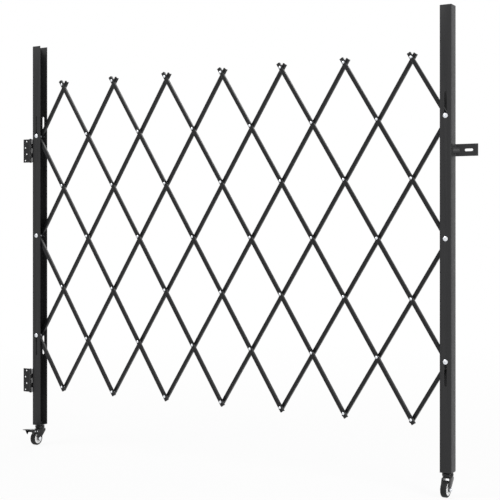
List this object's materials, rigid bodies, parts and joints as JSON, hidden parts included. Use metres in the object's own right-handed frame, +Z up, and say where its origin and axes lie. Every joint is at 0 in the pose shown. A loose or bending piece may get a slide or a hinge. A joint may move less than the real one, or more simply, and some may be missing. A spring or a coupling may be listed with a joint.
{
  "type": "folding security gate",
  "caption": "Folding scissor lattice gate between two channel posts, hung on butt hinges, with a slotted lock plate and swivel casters.",
  "frame": {"origin": "middle of the back face of the top hinge's wall leaf, the face that lies on the wall", "axes": "+X along the open gate from the hinge side to the lock side, +Y from the front to the back, into the wall, +Z up"},
  "size_m": [1.7966, 0.1148, 1.524],
  "materials": {
    "powder_coated_steel": "matt black powder coat, slightly pebbled",
    "zinc_plated_steel": "bright zinc plate",
    "rubber": "matt black moulded rubber",
    "white_plastic": "white moulded plastic"
  },
  "bodies": {
    "wall_leaves": {"hinge_top_wall_leaf": "powder_coated_steel", "hinge_bottom_wall_leaf": "powder_coated_steel", "hinge_top_pin": "zinc_plated_steel", "hinge_bottom_pin": "zinc_plated_steel"},
    "post_left": {"post_left": "powder_coated_steel", "foot_plate_left": "powder_coated_steel", "hinge_top_post_leaf": "powder_coated_steel", "hinge_bottom_post_leaf": "powder_coated_steel", "bolt_left_middle": "zinc_plated_steel", "nut_left_middle": "zinc_plated_steel", "caster_left_housing": "powder_coated_steel", "caster_left_stem_nut": "zinc_plated_steel"},
    "front_bar_01": {"front_bar_01": "powder_coated_steel", "bolt_left_bottom": "zinc_plated_steel", "nut_left_bottom": "zinc_plated_steel"},
    "front_bar_02": {"front_bar_02": "powder_coated_steel"},
    "front_bar_03": {"front_bar_03": "powder_coated_steel"},
    "front_bar_04": {"front_bar_04": "powder_coated_steel"},
    "front_bar_05": {"front_bar_05": "powder_coated_steel"},
    "front_bar_06": {"front_bar_06": "powder_coated_steel"},
    "front_bar_07": {"front_bar_07": "powder_coated_steel"},
    "front_bar_08": {"front_bar_08": "powder_coated_steel"},
    "front_bar_09": {"front_bar_09": "powder_coated_steel"},
    "front_bar_10": {"front_bar_10": "powder_coated_steel", "bolt_right_top": "zinc_plated_steel", "nut_right_top": "zinc_plated_steel"},
    "back_bar_01": {"back_bar_01": "powder_coated_steel", "bolt_left_top": "zinc_plated_steel", "nut_left_top": "zinc_plated_steel"},
    "back_bar_02": {"back_bar_02": "powder_coated_steel"},
    "back_bar_03": {"back_bar_03": "powder_coated_steel"},
    "back_bar_04": {"back_bar_04": "powder_coated_steel"},
    "back_bar_05": {"back_bar_05": "powder_coated_steel"},
    "back_bar_06": {"back_bar_06": "powder_coated_steel"},
    "back_bar_07": {"back_bar_07": "powder_coated_steel"},
    "back_bar_08": {"back_bar_08": "powder_coated_steel"},
    "back_bar_09": {"back_bar_09": "powder_coated_steel"},
    "back_bar_10": {"back_bar_10": "powder_coated_steel", "bolt_right_bottom": "zinc_plated_steel", "nut_right_bottom": "zinc_plated_steel"},
    "post_right": {"post_right": "powder_coated_steel", "foot_plate_right": "powder_coated_steel", "lock_plate": "powder_coated_steel", "bolt_right_middle": "zinc_plated_steel", "nut_right_middle": "zinc_plated_steel", "caster_right_housing": "powder_coated_steel", "caster_right_stem_nut": "zinc_plated_steel"},
    "caster_left_swivel": {"caster_left_fork": "powder_coated_steel", "caster_left_axle": "zinc_plated_steel", "caster_left_axle_nut": "zinc_plated_steel", "caster_left_brake_pin": "zinc_plated_steel"},
    "caster_left_wheel": {"caster_left_tyre": "rubber", "caster_left_hub": "white_plastic"},
    "caster_left_brake": {"caster_left_brake_pedal": "powder_coated_steel"},
    "caster_right_swivel": {"caster_right_fork": "powder_coated_steel", "caster_right_axle": "zinc_plated_steel", "caster_right_axle_nut": "zinc_plated_steel"},
    "caster_right_wheel": {"caster_right_tyre": "rubber", "caster_right_hub": "white_plastic"}
  },
  "joints": [
    {"name": "gate_swing", "type": "hinge", "parent": "wall_leaves", "child": "post_left", "pos_m": [0.02165, -0.005, -0.325], "axis": [0, 0, -1], "range_deg": [0, 175]},
    {"name": "lattice_fold", "type": "hinge", "parent": "post_left", "child": "back_bar_02", "pos_m": [0.04595, 0.0207, -0.325], "axis": [0, -1, 0], "range_deg": [0, 29]},
    {"name": "front_bar_02_turn", "type": "hinge", "parent": "post_left", "child": "front_bar_02", "pos_m": [0.04595, 0.0207, -0.325], "axis": [0, -1, 0], "range_deg": [-29, 0]},
    {"name": "front_bar_03_turn", "type": "hinge", "parent": "back_bar_02", "child": "front_bar_03", "pos_m": [0.16298, 0.0207, -0.1345], "axis": [0, -1, 0], "range_deg": [-58, 0]},
    {"name": "front_bar_04_turn", "type": "hinge", "parent": "back_bar_02", "child": "front_bar_04", "pos_m": [0.28001, 0.0207, 0.056], "axis": [0, -1, 0], "range_deg": [-58, 0]},
    {"name": "front_bar_05_turn", "type": "hinge", "parent": "back_bar_02", "child": "front_bar_05", "pos_m": [0.39704, 0.0207, 0.2465], "axis": [0, -1, 0], "range_deg": [-58, 0]},
    {"name": "back_bar_03_turn", "type": "hinge", "parent": "front_bar_02", "child": "back_bar_03", "pos_m": [0.16298, 0.0207, -0.5155], "axis": [0, -1, 0], "range_deg": [0, 58]},
    {"name": "back_bar_04_turn", "type": "hinge", "parent": "front_bar_02", "child": "back_bar_04", "pos_m": [0.28001, 0.0207, -0.706], "axis": [0, -1, 0], "range_deg": [0, 58]},
    {"name": "back_bar_05_turn", "type": "hinge", "parent": "front_bar_02", "child": "back_bar_05", "pos_m": [0.39704, 0.0207, -0.8965], "axis": [0, -1, 0], "range_deg": [0, 58]},
    {"name": "back_bar_01_turn", "type": "hinge", "parent": "front_bar_03", "child": "back_bar_01", "pos_m": [0.04595, 0.0207, 0.056], "axis": [0, -1, 0], "range_deg": [0, 58]},
    {"name": "front_bar_01_turn", "type": "hinge", "parent": "back_bar_03", "child": "front_bar_01", "pos_m": [0.04595, 0.0207, -0.706], "axis": [0, -1, 0], "range_deg": [-58, 0]},
    {"name": "back_bar_06_turn", "type": "hinge", "parent": "front_bar_05", "child": "back_bar_06", "pos_m": [0.86515, 0.0207, -0.5155], "axis": [0, -1, 0], "range_deg": [0, 58]},
    {"name": "back_bar_07_turn", "type": "hinge", "parent": "front_bar_05", "child": "back_bar_07", "pos_m": [0.98218, 0.0207, -0.706], "axis": [0, -1, 0], "range_deg": [0, 58]},
    {"name": "back_bar_08_turn", "type": "hinge", "parent": "front_bar_05", "child": "back_bar_08", "pos_m": [1.09921, 0.0207, -0.8965], "axis": [0, -1, 0], "range_deg": [0, 58]},
    {"name": "front_bar_06_turn", "type": "hinge", "parent": "back_bar_05", "child": "front_bar_06", "pos_m": [0.86515, 0.0207, -0.1345], "axis": [0, -1, 0], "range_deg": [-58, 0]},
    {"name": "front_bar_07_turn", "type": "hinge", "parent": "back_bar_05", "child": "front_bar_07", "pos_m": [0.98218, 0.0207, 0.056], "axis": [0, -1, 0], "range_deg": [-58, 0]},
    {"name": "front_bar_08_turn", "type": "hinge", "parent": "back_bar_05", "child": "front_bar_08", "pos_m": [1.09921, 0.0207, 0.2465], "axis": [0, -1, 0], "range_deg": [-58, 0]},
    {"name": "front_bar_09_turn", "type": "hinge", "parent": "back_bar_08", "child": "front_bar_09", "pos_m": [1.56732, 0.0207, -0.1345], "axis": [0, -1, 0], "range_deg": [-58, 0]},
    {"name": "front_bar_10_turn", "type": "hinge", "parent": "back_bar_08", "child": "front_bar_10", "pos_m": [1.68435, 0.0207, 0.056], "axis": [0, -1, 0], "range_deg": [-58, 0]},
    {"name": "back_bar_09_turn", "type": "hinge", "parent": "front_bar_08", "child": "back_bar_09", "pos_m": [1.56732, 0.0207, -0.5155], "axis": [0, -1, 0], "range_deg": [0, 58]},
    {"name": "back_bar_10_turn", "type": "hinge", "parent": "front_bar_08", "child": "back_bar_10", "pos_m": [1.68435, 0.0207, -0.706], "axis": [0, -1, 0], "range_deg": [0, 58]},
    {"name": "post_right_turn", "type": "hinge", "parent": "front_bar_09", "child": "post_right", "pos_m": [1.68435, 0.0207, -0.325], "axis": [0, -1, 0], "range_deg": [0, 29]},
    {"name": "caster_left_swivel_turn", "type": "hinge", "parent": "post_left", "child": "caster_left_swivel", "pos_m": [0.0457, 0.0207, -1.0625], "axis": [0, 0, 1], "continuous": true},
    {"name": "caster_left_wheel_spin", "type": "hinge", "parent": "caster_left_swivel", "child": "caster_left_wheel", "pos_m": [0.0457, 0.0007, -1.0985], "axis": [1, 0, 0], "continuous": true},
    {"name": "caster_right_swivel_turn", "type": "hinge", "parent": "post_right", "child": "caster_right_swivel", "pos_m": [1.6846, 0.0207, -1.0625], "axis": [0, 0, 1], "continuous": true},
    {"name": "caster_right_wheel_spin", "type": "hinge", "parent": "caster_right_swivel", "child": "caster_right_wheel", "pos_m": [1.6846, 0.0007, -1.0985], "axis": [1, 0, 0], "continuous": true},
    {"name": "caster_left_brake_press", "type": "hinge", "parent": "caster_left_swivel", "child": "caster_left_brake", "pos_m": [0.0457, -0.0063, -1.0705], "axis": [1, 0, 0], "range_deg": [0, 9]}
  ],
  "couplings": [
    {"joint": "front_bar_02_turn", "follows": "lattice_fold", "ratio": -1},
    {"joint": "front_bar_03_turn", "follows": "lattice_fold", "ratio": -2},
    {"joint": "front_bar_04_turn", "follows": "lattice_fold", "ratio": -2},
    {"joint": "front_bar_05_turn", "follows": "lattice_fold", "ratio": -2},
    {"joint": "back_bar_03_turn", "follows": "lattice_fold", "ratio": 2},
    {"joint": "back_bar_04_turn", "follows": "lattice_fold", "ratio": 2},
    {"joint": "back_bar_05_turn", "follows": "lattice_fold", "ratio": 2},
    {"joint": "back_bar_01_turn", "follows": "lattice_fold", "ratio": 2},
    {"joint": "front_bar_01_turn", "follows": "lattice_fold", "ratio": -2},
    {"joint": "back_bar_06_turn", "follows": "lattice_fold", "ratio": 2},
    {"joint": "back_bar_07_turn", "follows": "lattice_fold", "ratio": 2},
    {"joint": "back_bar_08_turn", "follows": "lattice_fold", "ratio": 2},
    {"joint": "front_bar_06_turn", "follows": "lattice_fold", "ratio": -2},
    {"joint": "front_bar_07_turn", "follows": "lattice_fold", "ratio": -2},
    {"joint": "front_bar_08_turn", "follows": "lattice_fold", "ratio": -2},
    {"joint": "front_bar_09_turn", "follows": "lattice_fold", "ratio": -2},
    {"joint": "front_bar_10_turn", "follows": "lattice_fold", "ratio": -2},
    {"joint": "back_bar_09_turn", "follows": "lattice_fold", "ratio": 2},
    {"joint": "back_bar_10_turn", "follows": "lattice_fold", "ratio": 2},
    {"joint": "post_right_turn", "follows": "lattice_fold", "ratio": 1}
  ]
}
